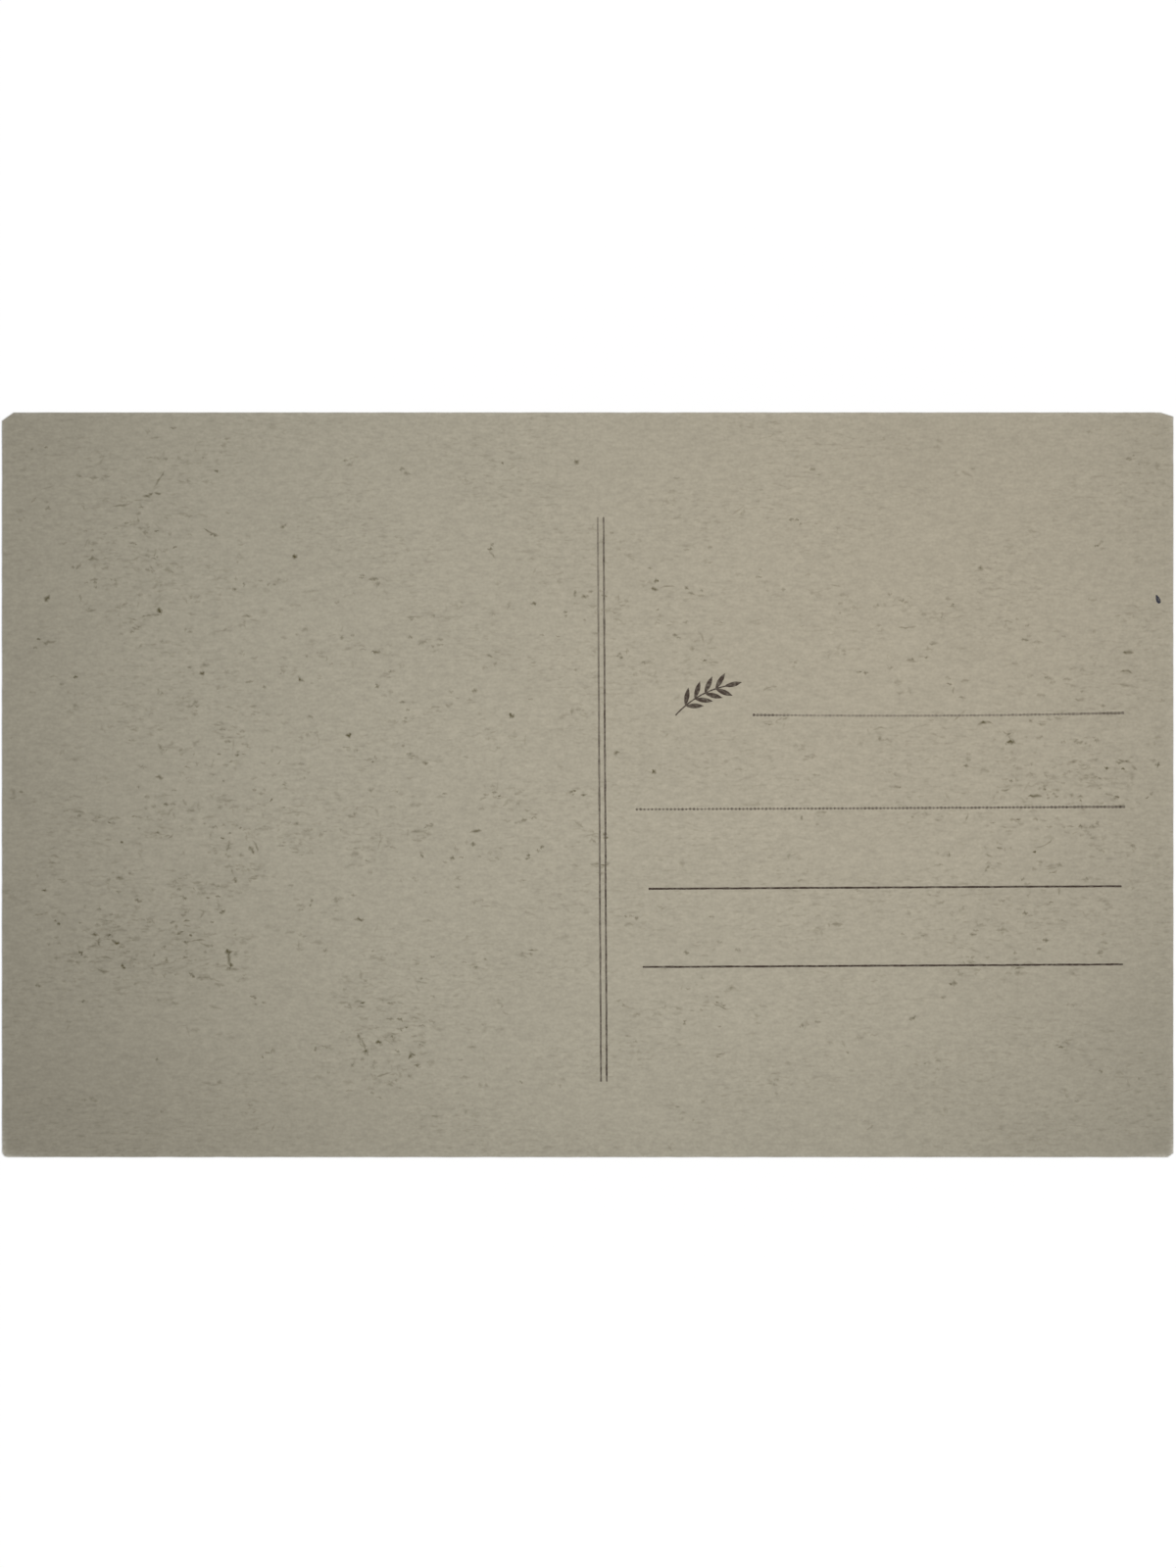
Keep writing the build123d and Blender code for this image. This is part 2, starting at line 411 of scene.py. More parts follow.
def wander(along, waves, seed):
    """A smooth wander between -1 and 1 along a line.

    It is the mean of sines with seeded lengths and phases, times the root of half their number, clipped.
    """
    shortest, longest, count = waves
    rng = np.random.default_rng(seed)
    lengths = np.exp(rng.uniform(math.log(shortest), math.log(longest), count))
    phases = rng.uniform(0.0, 2.0 * math.pi, count)
    sines = np.sin(2.0 * math.pi * np.asarray(along)[..., None] / lengths + phases)
    return np.clip(sines.mean(axis=-1) * math.sqrt(count / 2.0), -1.0, 1.0)


def cockle(x, y):
    """The address side's slow waves, 0 at most: a wander of plane sine waves in seeded directions."""
    shortest, longest, count = COCKLE_WAVES
    rng = np.random.default_rng(COCKLE_SEED)
    lengths = np.exp(rng.uniform(math.log(shortest), math.log(longest), count))
    turns = rng.uniform(0.0, math.pi, count)
    phases = rng.uniform(0.0, 2.0 * math.pi, count)
    across = x[..., None] * np.cos(turns) + y[..., None] * np.sin(turns)
    sines = np.sin(2.0 * math.pi * across / lengths + phases)
    waves = sines.mean(axis=-1) * math.sqrt(count / 2.0)
    return COCKLE_DEPTH * (np.clip(waves, -1.0, 1.0) - 1.0) / 2.0


def address_surface(x, y):
    """Height of the paper's address side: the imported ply's top face, lowered by the cockle."""
    return address_top + cockle(x, y)


# Meshes

def put_piece(name, vertices, faces, nodes=(), tones=None, smooth=True):
    """Makes a mesh piece from arrays, which rides on the card and stands for the named nodes."""
    mesh = bpy.data.meshes.new(name)
    mesh.from_pydata(vertices.reshape(-1, 3).tolist(), [], faces)
    mesh.polygons.foreach_set("use_smooth", np.full(len(mesh.polygons), smooth))
    if tones is not None:
        layer = mesh.attributes.new("tone", "FLOAT", "POINT")
        layer.data.foreach_set("value", tones.astype(np.float32).ravel())
    mesh.update()
    piece = bpy.data.objects.new(name, mesh)
    bpy.context.scene.collection.objects.link(piece)
    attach(piece, "root")
    if nodes:
        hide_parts(*nodes)
    return piece


def graded_lines(length, spacing):
    """Places of grid lines from 0 to a length: the edge steps at both ends, even spacing between them."""
    inner_start = EDGE_STEPS[-1]
    inner_count = max(2, round((length - 2.0 * inner_start) / spacing) + 1)
    inner = np.linspace(inner_start, length - inner_start, inner_count)
    return np.concatenate([EDGE_STEPS[:-1], inner, length - EDGE_STEPS[-2::-1]])


def chip_cut(gap, chip):
    """How far a knocked corner cuts into a row this far from its edge: a straight slant."""
    length, height = chip
    return length * np.clip(1.0 - gap / height, 0.0, 1.0)


def round_cut(gap, radius):
    """How far a worn corner cuts into a row this far from its edge: a quarter circle."""
    return radius - np.sqrt(radius ** 2 - np.clip(radius - gap, 0.0, radius) ** 2)


def dents(along, seed):
    """Depth of the dents along an edge: a wander, squared so that most of the edge stays straight."""
    return DENT_DEPTH * (0.5 + 0.5 * wander(along, DENT_WAVES, seed)) ** 2


def ply_plan(low, high, spacing, setback, seed):
    """Grid of a ply seen from above, and each point's distance from the edge.

    Rows run from the bottom edge to the top edge. Each row spans from the left outline to the right one,
    both cut back where a corner is worn. Points are pushed in by each edge's dents, which die away inwards.
    """
    length = high[0] - low[0] - 2.0 * setback
    height = high[1] - low[1] - 2.0 * setback
    across = graded_lines(length, spacing)[None, :]
    up = graded_lines(height, spacing)[:, None]
    left_cut = chip_cut(height - up, TOP_LEFT_CHIP) + round_cut(up, BOTTOM_LEFT_WEAR)
    right_cut = chip_cut(height - up, TOP_RIGHT_CHIP) + chip_cut(up, BOTTOM_RIGHT_CHIP)
    share = across / length
    from_left = share * (length - left_cut - right_cut)
    from_right = (1.0 - share) * (length - left_cut - right_cut)
    from_bottom = up + 0.0 * across
    from_top = height - from_bottom
    x = low[0] + setback + left_cut + from_left
    y = low[1] + setback + from_bottom
    x = x + dents(y, seed) * np.exp(-from_left / DENT_REACH)
    x = x - dents(y, seed + 1) * np.exp(-from_right / DENT_REACH)
    y = y + dents(x, seed + 2) * np.exp(-from_bottom / DENT_REACH)
    y = y - dents(x, seed + 3) * np.exp(-from_top / DENT_REACH)
    edge = np.minimum(np.minimum(from_left, from_right), np.minimum(from_bottom, from_top))
    return x, y, edge


def edge_wear_and_highlight(x, y, edge, high, seed):
    """How worn and painted-highlit each point of a ply is, from 0 to 1.

    Patches along the edge and the wear and painted highlight of the corners are added up, and die away
    inwards from the edge.
    """
    corner_gap = np.hypot(high[0] - np.abs(x), high[1] - np.abs(y))
    corner_depth = np.where(y > 0.0, TOP_CORNER_WEAR_AND_HIGHLIGHT, BOTTOM_CORNER_WEAR_AND_HIGHLIGHT)
    corner_wear_and_highlight = corner_depth * np.exp(-corner_gap / CORNER_REACH)
    patches = 0.5 + 0.5 * wander(x + WEAR_AND_HIGHLIGHT_SLANT * y, WEAR_AND_HIGHLIGHT_WAVES, seed)
    return np.clip((EDGE_WEAR_AND_HIGHLIGHT * patches + corner_wear_and_highlight) * np.exp(-edge / WEAR_AND_HIGHLIGHT_REACH), 0.0, 1.0)


def sheet_mesh(x, y, z_low, z_high):
    """Closed sheet over a grid: an upper face, a lower face on the same grid, and a wall round the rim."""
    rows, cols = x.shape
    upper = np.stack([x, y, z_high], axis=-1).reshape(-1, 3)
    lower = np.stack([x, y, z_low], axis=-1).reshape(-1, 3)
    index = np.arange(rows * cols).reshape(rows, cols)
    corner = [index[:-1, :-1], index[:-1, 1:], index[1:, 1:], index[1:, :-1]]
    upper_faces = np.stack(corner, axis=-1).reshape(-1, 4)
    lower_faces = upper_faces[:, ::-1] + rows * cols
    rim = np.concatenate([index[0, :-1], index[:-1, -1], index[-1, :0:-1], index[:0:-1, 0]])
    ahead = np.roll(rim, -1)
    wall = np.stack([rim, rim + rows * cols, ahead + rows * cols, ahead], axis=-1)
    faces = np.concatenate([upper_faces, lower_faces, wall])
    return np.concatenate([upper, lower]), faces.tolist()


def stroke_mesh(lines, ground, half_widths, rise, section):
    """Closed flat strokes, made together.

    lines holds each stroke's middle line (strokes, stations, 2) and ground its height. At every station a
    ring stands across the stroke's chord: the section's first column times the half width goes sideways,
    its second column times the rise goes up. The rings are joined into a tube and both ends are capped.
    """
    strokes, stations, _ = lines.shape
    sides = len(section)
    chord = lines[:, -1] - lines[:, 0]
    chord = chord / np.linalg.norm(chord, axis=-1, keepdims=True)
    sideways = np.stack([chord[:, 1], -chord[:, 0]], axis=-1)
    offsets = section[None, None, :, 0, None] * half_widths[:, :, None, None] * sideways[:, None, None, :]
    plan = lines[:, :, None, :] + offsets
    z = ground[:, :, None] + section[None, None, :, 1] * rise
    vertices = np.concatenate([plan, z[..., None]], axis=-1)
    index = np.arange(strokes * stations * sides).reshape(strokes, stations, sides)
    around = np.roll(index, -1, axis=2)
    tube = np.stack([index[:, :-1], around[:, :-1], around[:, 1:], index[:, 1:]], axis=-1).reshape(-1, 4)
    first_caps = index[:, 0, ::-1]
    last_caps = index[:, -1, :]
    return vertices, tube.tolist() + first_caps.tolist() + last_caps.tolist()


# Plies, paste and picture

def outer_ply(name, node, seed, face_up):
    """The address ply, which faces up, or the picture ply: a sheet whose outer face rolls in at the edges.

    The outer face moves in by the edge roll times exp(-distance from the edge / roll reach). The ply's wear
    and painted edge highlight are kept as the piece's tone.
    """
    low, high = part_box(node)
    x, y, edge = ply_plan(low, high, PLY_SPACING, 0.0, seed)
    roll = EDGE_ROLL * np.exp(-edge / ROLL_REACH)
    wear_and_highlight = edge_wear_and_highlight(x, y, edge, high, seed + WEAR_AND_HIGHLIGHT_SEED_STEP)
    if face_up:
        z_low = np.full_like(x, low[2])
        z_high = address_surface(x, y) - roll
    else:
        z_low = low[2] + roll
        z_high = np.full_like(x, high[2])
    vertices, faces = sheet_mesh(x, y, z_low, z_high)
    return put_piece(name, vertices, faces, [node], np.concatenate([wear_and_highlight.ravel(), wear_and_highlight.ravel()]))


def inner_layer(name, node, spacing, setback, seed):
    """The core or a film of paste: a flat sheet in its node's box, set back, dented, worn and painted with
    an edge highlight.
    """
    low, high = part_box(node)
    x, y, edge = ply_plan(low, high, spacing, setback, seed)
    wear_and_highlight = edge_wear_and_highlight(x, y, edge, high, seed + WEAR_AND_HIGHLIGHT_SEED_STEP)
    vertices, faces = sheet_mesh(x, y, np.full_like(x, low[2]), np.full_like(x, high[2]))
    return put_piece(name, vertices, faces, [node], np.concatenate([wear_and_highlight.ravel(), wear_and_highlight.ravel()]))


def picture_film():
    """The printed picture: a flat film in its node's box, on an even grid."""
    low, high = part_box("picture_print")
    columns, rows = PICTURE_GRID
    x, y = np.meshgrid(np.linspace(low[0], high[0], columns), np.linspace(low[1], high[1], rows))
    vertices, faces = sheet_mesh(x, y, np.full_like(x, low[2]), np.full_like(x, high[2]))
    return put_piece("picture_film", vertices, faces, ["picture_print"])


# Printing on the address side

def rule_ends(node, upright):
    """Both ends of a rule's middle line, at opposite corners of its node's box, as the print is turned."""
    low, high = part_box(node)
    half = RULE_WIDTH / 2.0
    if upright:
        return np.array([[high[0] - half, low[1]], [low[0] + half, high[1]]])
    return np.array([[low[0], low[1] + half], [high[0], high[1] - half]])


def solid_rule(name, node, tones, seed, upright=False):
    """A ruled line: wanders push its middle line aside, swell its half width and make its inking patchy.

    Its ends are just rounded off. tones gives the inking at RULE_TURNS along the rule.
    """
    start, end = rule_ends(node, upright)
    length = np.linalg.norm(end - start)
    ending = RULE_ENDING / length
    share = np.concatenate([[0.0], np.linspace(ending, 1.0 - ending, round(length / RULE_STEP) + 1), [1.0]])
    along = share * length
    across = np.array([start[1] - end[1], end[0] - start[0]]) / length
    waver = RULE_WAVER * wander(along, WAVER_WAVES, seed)
    line = start + share[:, None] * (end - start) + waver[:, None] * across
    half = RULE_WIDTH / 2.0 * (1.0 + RULE_SWELL * wander(along, SWELL_WAVES, seed + 1))
    half[[0, -1]] *= RULE_END_WIDTH
    inking = np.interp(share, RULE_TURNS, tones)
    inking = inking * (1.0 + RULE_PATCHINESS * wander(along, PATCH_WAVES, seed + 2))
    return lay_ink(name, node, line[None], half[None], inking[None])


def dotted_rule(name, node, bow, spreads, tones, necks, seed):
    """A row of dots whose ink has run together: one beaded line, bowed down in its middle like half a sine.

    Around each dot the half width and the inking are a neck plus a half circle for the rest. spreads, tones
    and necks give the dots' radius (as a share of the plain one), their inking, and the neck (as a share of
    the dot) at DOT_TURNS along the row.
    """
    low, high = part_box(node)
    first = np.array([low[0] + DOT_RADIUS, low[1] + DOT_RADIUS])
    last = np.array([high[0] - DOT_RADIUS, high[1] - DOT_RADIUS])
    count = round((last[0] - first[0]) / DOT_PITCH) + 1
    share = np.linspace(0.0, 1.0, count)
    rng = np.random.default_rng(seed)
    middles = first + share[:, None] * (last - first)
    middles[:, 1] -= bow * np.sin(math.pi * share)
    middles = middles + rng.normal(0.0, DOT_SCATTER, middles.shape)
    radii = DOT_RADIUS * np.interp(share, DOT_TURNS, spreads) * rng.normal(1.0, DOT_RADIUS_SPREAD, count)
    inking = np.interp(share, DOT_TURNS, tones) * rng.normal(1.0, DOT_INKING_SPREAD, count)
    neck = np.interp(share, DOT_TURNS, necks)[:, None]
    along = DOT_PITCH * ((np.arange(DOT_STATIONS) + 0.5) / DOT_STATIONS - 0.5)
    bead = np.sqrt(np.clip(1.0 - (along / radii[:, None]) ** 2, 0.0, 1.0))
    bead = neck + (1.0 - neck) * bead
    line = middles[:, None, :] + along[:, None] * np.array([1.0, 0.0])
    line = line.reshape(1, -1, 2)[:, 1:-1]
    half_widths = (radii[:, None] * bead).reshape(1, -1)[:, 1:-1]
    inking = (inking[:, None] * bead).reshape(1, -1)[:, 1:-1]
    return lay_ink(name, node, line, half_widths, inking)


def lay_ink(name, node, lines, half_widths, inking):
    """Puts ink strokes on the paper, with their inking as the piece's tone, weaker at the strokes' rims."""
    ground = address_surface(lines[..., 0], lines[..., 1])
    vertices, faces = stroke_mesh(lines, ground, half_widths, INK_RISE, INK_SECTION)
    tones = np.clip(inking, 0.0, 1.0)[:, :, None] * INK_SECTION_TONE
    return put_piece(name, vertices, faces, [node], tones, smooth=False)


def sprig():
    """The sprig ornament: a bowed stem, leaves in pairs along it and one at its tip.

    The stem is a chord with a parabola's bow. A leaf is a straight chord whose half width is a parabola.
    The finished sprig is set into the middle of its node's box.
    """
    share = np.linspace(0.0, 1.0, SPRIG_STATIONS)
    chord = np.array([math.cos(SPRIG_TILT), math.sin(SPRIG_TILT)])
    bow_side = np.array([-chord[1], chord[0]])
    hump = 4.0 * share * (1.0 - share)
    stem = STEM_REACH * share[:, None] * chord + STEM_BOW * hump[:, None] * bow_side
    stem_half = np.full_like(share, STEM_WIDTH / 2.0)
    stem_length = np.sum(np.linalg.norm(np.diff(stem, axis=0), axis=1))
    pair_share = np.repeat((LOWEST_LEAF + LEAF_SPACING * np.arange(LEAF_PAIRS)) / stem_length, 2)
    leaf_share = np.append(pair_share, 1.0 - STEM_WIDTH / stem_length)
    leaf_side = np.append(np.tile([-1.0, 1.0], LEAF_PAIRS), 0.0)
    base_hump = 4.0 * leaf_share * (1.0 - leaf_share)
    bases = STEM_REACH * leaf_share[:, None] * chord + STEM_BOW * base_hump[:, None] * bow_side
    slope = STEM_BOW * 4.0 * (1.0 - 2.0 * leaf_share) / STEM_REACH
    leaf_turn = SPRIG_TILT + np.arctan(slope) + leaf_side * LEAF_SPREAD
    leaf_run = np.stack([np.cos(leaf_turn), np.sin(leaf_turn)], axis=-1)
    leaves = bases[:, None, :] + LEAF_LENGTH * share[None, :, None] * leaf_run[:, None, :]
    leaf_half = np.maximum(LEAF_WIDTH / 2.0 * hump, LEAF_TIP)
    lines = np.concatenate([stem[None], leaves])
    half_widths = np.concatenate([stem_half[None], np.tile(leaf_half, (len(leaves), 1))])
    low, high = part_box("sprig_ornament")
    middle = (lines.reshape(-1, 2).min(axis=0) + lines.reshape(-1, 2).max(axis=0)) / 2.0
    lines = lines + np.array([low[0] + high[0], low[1] + high[1]]) / 2.0 - middle
    inking = SPRIG_INKING * np.ones_like(half_widths)
    return lay_ink("sprig_ink", "sprig_ornament", lines, half_widths, inking)


# Flecks and other marks in the paper

def fleck_strokes(x, y, length, width, lean, bend, rng):
    """Middle lines and half widths of flecks: short parabolas, as wide as a flattened half sine.

    Between its ends a line is knocked sideways, and it swells or thins, by seeded draws.
    """
    share = np.linspace(0.0, 1.0, FLECK_STATIONS)
    knock = FLECK_KNOCK * width[:, None] * rng.normal(0.0, 1.0, (len(x), FLECK_STATIONS))
    knock[:, [0, -1]] = 0.0
    swell = np.exp(FLECK_ROUGHNESS * rng.normal(0.0, 1.0, (len(x), FLECK_STATIONS)))
    run = np.stack([np.cos(lean), np.sin(lean)], axis=-1)
    aside = np.stack([-run[:, 1], run[:, 0]], axis=-1)
    along = length[:, None] * (share - 0.5)
    bulge = (bend * length)[:, None] * (0.25 - (share - 0.5) ** 2) * 4.0 + knock
    lines = np.stack([x, y], axis=-1)[:, None, :] + along[..., None] * run[:, None, :]
    lines = lines + bulge[..., None] * aside[:, None, :]
    profile = FLECK_END_WIDTH + (1.0 - FLECK_END_WIDTH) * np.sin(math.pi * share) ** FLECK_BLUNTNESS
    return lines, width[:, None] / 2.0 * profile * swell


def put_flecks(name, x, y, length, width, lean, bend, strength, rng):
    """Flecks in the paper's face, clumped and fading to their rims and ends, by the piece's tone."""
    lines, half_widths = fleck_strokes(x, y, length, width, lean, bend, rng)
    ground = address_surface(lines[..., 0], lines[..., 1]) + FLECK_LIFT
    vertices, faces = stroke_mesh(lines, ground, half_widths, FLECK_RISE, FLECK_SECTION)
    fade = np.sin(math.pi * np.linspace(*FLECK_FADE_SPAN, FLECK_STATIONS)) ** FLECK_FADE_BLUNTNESS
    clumps = np.exp(FLECK_ROUGHNESS * rng.normal(0.0, 1.0, half_widths.shape))
    tones = np.clip(strength[:, None] * fade * clumps, 0.0, 1.0)[:, :, None] * FLECK_SECTION_TONE
    return put_piece(name, vertices, faces, (), tones, smooth=False)


def scattered_flecks(name, crowd, length, width, strength, seed):
    """The paper's many small flecks: drifts round given middles, and an even scatter.

    Each place drawn gets a group of one or a few flecks close together, most of them lying along the card.
    Lengths, widths and strengths spread about the given ones by the exponential of a normal draw.
    """
    rng = np.random.default_rng(seed)
    drifts = np.array(FLECK_DRIFTS)
    counts = np.round(drifts[:, 4] * crowd).astype(int)
    middles = np.repeat(drifts[:, 0:2], counts, axis=0)
    spreads = np.repeat(drifts[:, 2:4], counts, axis=0)
    drifted = (middles + spreads * rng.normal(0.0, 1.0, middles.shape)) * MM
    room = np.array([address_high[0], address_high[1]]) - FLECK_MARGIN
    even = rng.uniform(-room, room, (round(SCATTERED_FLECKS * crowd), 2))
    groups = np.concatenate([drifted, even])
    places = np.repeat(groups, rng.integers(1, FLECK_GROUP + 1, len(groups)), axis=0)
    places = places + FLECK_GROUP_SPREAD * rng.normal(0.0, 1.0, places.shape)
    places = places[np.all(np.abs(places) < room, axis=1)]
    count = len(places)
    lengths = length * np.exp(rng.normal(0.0, FLECK_LENGTH_SPREAD, count))
    widths = width * np.exp(rng.normal(0.0, FLECK_WIDTH_SPREAD, count))
    flat_lean = rng.normal(0.0, FLECK_LEAN_SPREAD, count)
    any_lean = rng.uniform(0.0, math.pi, count)
    lean = np.where(rng.uniform(size=count) < FLECKS_ALONG_CARD, flat_lean, any_lean)
    bend = rng.normal(0.0, FLECK_BEND, count)
    strengths = strength * np.exp(rng.normal(0.0, FLECK_STRENGTH_SPREAD, count))
    strengths = strengths * (length / lengths) ** FLECK_FADING
    return put_flecks(name, places[:, 0], places[:, 1], lengths, widths, lean, bend, strengths, rng)


def placed_flecks(name, marks, width, strength, seed):
    """Flecks of one kind, placed one by one, and drawn longer than they look because their ends fade."""
    rng = np.random.default_rng(seed)
    rows = np.array(marks)
    count = len(rows)
    widths = width * rng.uniform(*PLACED_SPREAD, count)
    strengths = strength * rng.uniform(*PLACED_SPREAD, count)
    bend = rng.normal(0.0, PLACED_BEND, count)
    x = rows[:, 0] * MM
    y = rows[:, 1] * MM
    lengths = FLECK_OVERRUN * rows[:, 2] * MM
    return put_flecks(name, x, y, lengths, widths, np.radians(rows[:, 3]), bend, strengths, rng)


def ink_spot():
    """A small teardrop of writing ink near the right edge: a leaning line, wide below and narrow above.

    Its half width is half a sine of a power of the way along it, blunted by a power of the sine.
    """
    share = np.linspace(0.0, 1.0, SPOT_STATIONS)
    run = np.array([math.cos(SPOT_LEAN), math.sin(SPOT_LEAN)])
    line = np.array(SPOT_PLACE) + SPOT_LENGTH * (share - 0.5)[:, None] * run
    skewed = np.linspace(*SPOT_SPAN, SPOT_STATIONS) ** SPOT_SKEW
    half = SPOT_WIDTH / 2.0 * np.sin(math.pi * skewed) ** SPOT_BLUNTNESS
    ground = address_surface(line[None, :, 0], line[None, :, 1])
    vertices, faces = stroke_mesh(line[None], ground, half[None], INK_RISE, INK_SECTION)
    tones = np.ones((1, SPOT_STATIONS, 1)) * INK_SECTION_TONE
    return put_piece("ink_spot", vertices, faces, (), tones, smooth=False)


# Looks

def new_look(name):
    """A fresh material: the material, its nodes, its shader and the point's place on the card."""
    look = bpy.data.materials.new(name)
    look.use_nodes = True
    tree = look.node_tree
    place = tree.nodes.new("ShaderNodeTexCoord").outputs["Object"]
    return look, tree, tree.nodes["Principled BSDF"], place


def plug(tree, socket, value):
    """Joins a socket to another one, or sets it to a number or a colour."""
    if isinstance(value, bpy.types.NodeSocket):
        tree.links.new(value, socket)
    elif isinstance(value, tuple):
        socket.default_value = (*value, 1.0)
    else:
        socket.default_value = value


def noise(tree, place, size, detail=2.0, shift=0.0):
    """Smooth noise from 0 to 1 whose spots measure about size, in metres along x, y and z."""
    mapping = tree.nodes.new("ShaderNodeMapping")
    mapping.inputs["Location"].default_value = (shift, shift, shift)
    mapping.inputs["Scale"].default_value = [1.0 / step if step else 0.0 for step in size]
    tree.links.new(place, mapping.inputs["Vector"])
    texture = tree.nodes.new("ShaderNodeTexNoise")
    texture.inputs["Scale"].default_value = 1.0
    texture.inputs["Detail"].default_value = detail
    tree.links.new(mapping.outputs["Vector"], texture.inputs["Vector"])
    return texture.outputs["Fac"]


def maths(tree, operation, first, second):
    """One arithmetic step on two values."""
    node = tree.nodes.new("ShaderNodeMath")
    node.operation = operation
    plug(tree, node.inputs[0], first)
    plug(tree, node.inputs[1], second)
    return node.outputs["Value"]


def distance(tree, place, spot):
    """How far a place is from a fixed spot."""
    node = tree.nodes.new("ShaderNodeVectorMath")
    node.operation = "DISTANCE"
    tree.links.new(place, node.inputs[0])
    node.inputs[1].default_value = spot
    return node.outputs["Value"]


def swing(tree, value, depth):
    """A factor about 1: one plus depth times how far the value is from a half."""
    return maths(tree, "ADD", maths(tree, "MULTIPLY", maths(tree, "SUBTRACT", value, 0.5), depth), 1.0)


def rising(tree, value, low, high):
    """0 below low, 1 above high, and a smooth step between them."""
    node = tree.nodes.new("ShaderNodeMapRange")
    node.interpolation_type = "SMOOTHSTEP"
    plug(tree, node.inputs["Value"], value)
    plug(tree, node.inputs["From Min"], low)
    plug(tree, node.inputs["From Max"], high)
    return node.outputs["Result"]


def blend(tree, share, first, second):
    """A colour between two others."""
    node = tree.nodes.new("ShaderNodeMix")
    node.data_type = "RGBA"
    plug(tree, node.inputs[0], share)
    plug(tree, node.inputs[6], first)
    plug(tree, node.inputs[7], second)
    return node.outputs[2]


def dimmed(tree, colour, factor):
    """A colour times a factor."""
    node = tree.nodes.new("ShaderNodeVectorMath")
    node.operation = "SCALE"
    tree.links.new(colour, node.inputs[0])
    tree.links.new(factor, node.inputs["Scale"])
    return node.outputs["Vector"]


def tone(tree):
    """The piece's own tone: wear and painted edge highlight on a ply, inking on print, strength on a fleck.
    """
    node = tree.nodes.new("ShaderNodeAttribute")
    node.attribute_name = "tone"
    return node.outputs["Fac"]


def raise_grain(tree, shader, height, depth):
    """Turns a height from 0 to 1 into fine relief this deep, in metres."""
    bump = tree.nodes.new("ShaderNodeBump")
    bump.inputs["Strength"].default_value = 1.0
    bump.inputs["Distance"].default_value = depth
    tree.links.new(height, bump.inputs["Height"])
    tree.links.new(bump.outputs["Normal"], shader.inputs["Normal"])


def matt(shader, finish):
    """A matt finish, given as its roughness and its gloss."""
    roughness, gloss = finish
    shader.inputs["Roughness"].default_value = roughness
    shader.inputs["Specular IOR Level"].default_value = gloss


def address_tone(tree, place):
    """Colour and fine relief of the address paper.

    Fibre streaks along the card, grain, mottle, clouds and a painted shade where the light falls off
    darken a colour that is warmest at one place.
    Faint dark dashes lie on it in drifts.
    """
    streaks = noise(tree, place, STREAK_SIZE, detail=1.0)
    grain = noise(tree, place, GRAIN_SIZE, detail=0.0)
    mottle = noise(tree, place, MOTTLE_SIZE)
    clouds = noise(tree, place, CLOUD_SIZE)
    shade = maths(tree, "MULTIPLY", swing(tree, streaks, STREAK_DEPTH), swing(tree, grain, GRAIN_DEPTH))
    shade = maths(tree, "MULTIPLY", shade, swing(tree, mottle, MOTTLE_DEPTH))
    shade = maths(tree, "MULTIPLY", shade, swing(tree, clouds, CLOUD_DEPTH))
    # Painted shade: darker away from the upper middle, standing in for the light's falloff
    painted_falloff = rising(tree, distance(tree, place, PAINTED_FALLOFF_MIDDLE), PAINTED_FALLOFF_START, PAINTED_FALLOFF_END)
    painted_shade_factor = maths(tree, "SUBTRACT", 1.0, maths(tree, "MULTIPLY", painted_falloff, PAINTED_FALLOFF_DEPTH))
    shade = maths(tree, "MULTIPLY", shade, painted_shade_factor)
    cooling = rising(tree, distance(tree, place, WARM_MIDDLE), 0.0, WARM_REACH)
    colour = dimmed(tree, blend(tree, cooling, PAPER_WARM_COLOUR, PAPER_COLOUR), shade)
    dashes = rising(tree, noise(tree, place, DASH_SIZE, detail=1.0, shift=DASH_SHIFT), *DASH_STEP)
    drifts = rising(tree, noise(tree, place, DRIFT_SIZE, detail=1.0, shift=DRIFT_SHIFT), *DRIFT_STEP)
    faint = maths(tree, "MULTIPLY", maths(tree, "MULTIPLY", dashes, drifts), DASH_DEPTH)
    return blend(tree, faint, colour, FLECK_COLOUR), maths(tree, "MULTIPLY", streaks, grain)


def rubbed_and_highlit(tree, place, colour):
    """A paper's colour, paler in patches where the piece's tone says it is worn or painted with an edge
    highlight.
    """
    patches = rising(tree, noise(tree, place, SCUFF_SIZE), *SCUFF_STEP)
    # Paler where worn, and a painted highlight where the edges catch the light
    return blend(tree, maths(tree, "MULTIPLY", tone(tree), patches), colour, SCUFF_AND_HIGHLIGHT_COLOUR)


def address_paper_look():
    """Grey-cream pulp paper, rubbed pale and painted with a highlight at its edges and corners."""
    look, tree, shader, place = new_look("address_paper_fibrous")
    colour, height = address_tone(tree, place)
    plug(tree, shader.inputs["Base Color"], rubbed_and_highlit(tree, place, colour))
    raise_grain(tree, shader, height, TOOTH_DEPTH)
    matt(shader, PAPER_FINISH)
    return look


def fleck_look(name):
    """Dark fibre in the paper: the paper's own colour, darkened by the fleck's tone."""
    look, tree, shader, place = new_look(name)
    colour, _ = address_tone(tree, place)
    grain = swing(tree, noise(tree, place, FLECK_GRAIN_SIZE), FLECK_GRAIN_DEPTH)
    share = maths(tree, "MULTIPLY", tone(tree), grain)
    plug(tree, shader.inputs["Base Color"], blend(tree, share, colour, FLECK_COLOUR))
    matt(shader, PAPER_FINISH)
    return look


